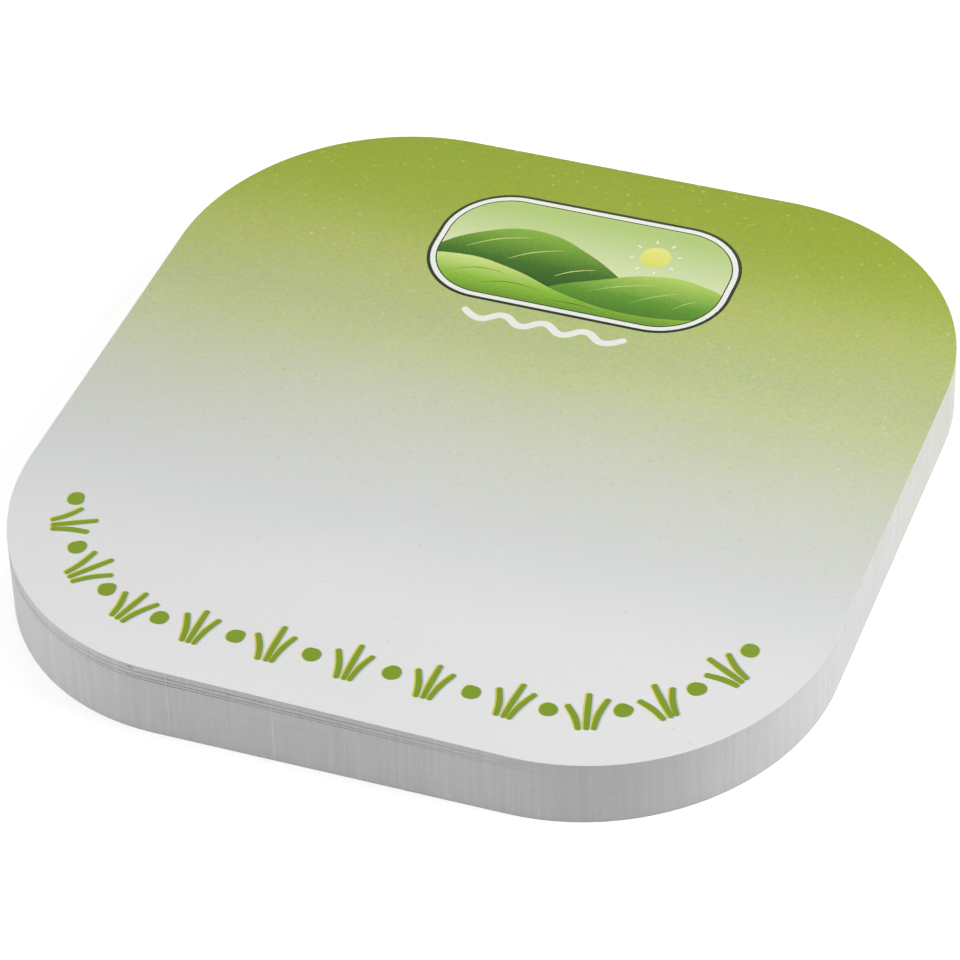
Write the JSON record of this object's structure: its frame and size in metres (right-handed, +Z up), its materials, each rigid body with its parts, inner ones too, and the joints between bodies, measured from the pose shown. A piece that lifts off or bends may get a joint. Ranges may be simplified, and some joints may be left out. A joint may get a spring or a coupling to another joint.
{
  "type": "sticky note pad",
  "caption": "Square die-cut pad of sticky notes with wide round corners, its sheets bonded at one side, fanned open at the other and leaning a little towards the head, on a backing sheet.",
  "frame": {"origin": "on the underside of the backing sheet, in the middle of the leaning pad's length and width", "axes": "+X across the notes to the bonded side, +Y to the head end of the notes, +Z up through the stack"},
  "size_m": [0.075, 0.076, 0.0071],
  "materials": {
    "note_paper": "uncoated, printed with a green wash at the head end",
    "backing_card": "release-coated, satin"
  },
  "bodies": {
    "root": {"note_stack": "note_paper", "backing_sheet": "backing_card"}
  },
  "joints": []
}
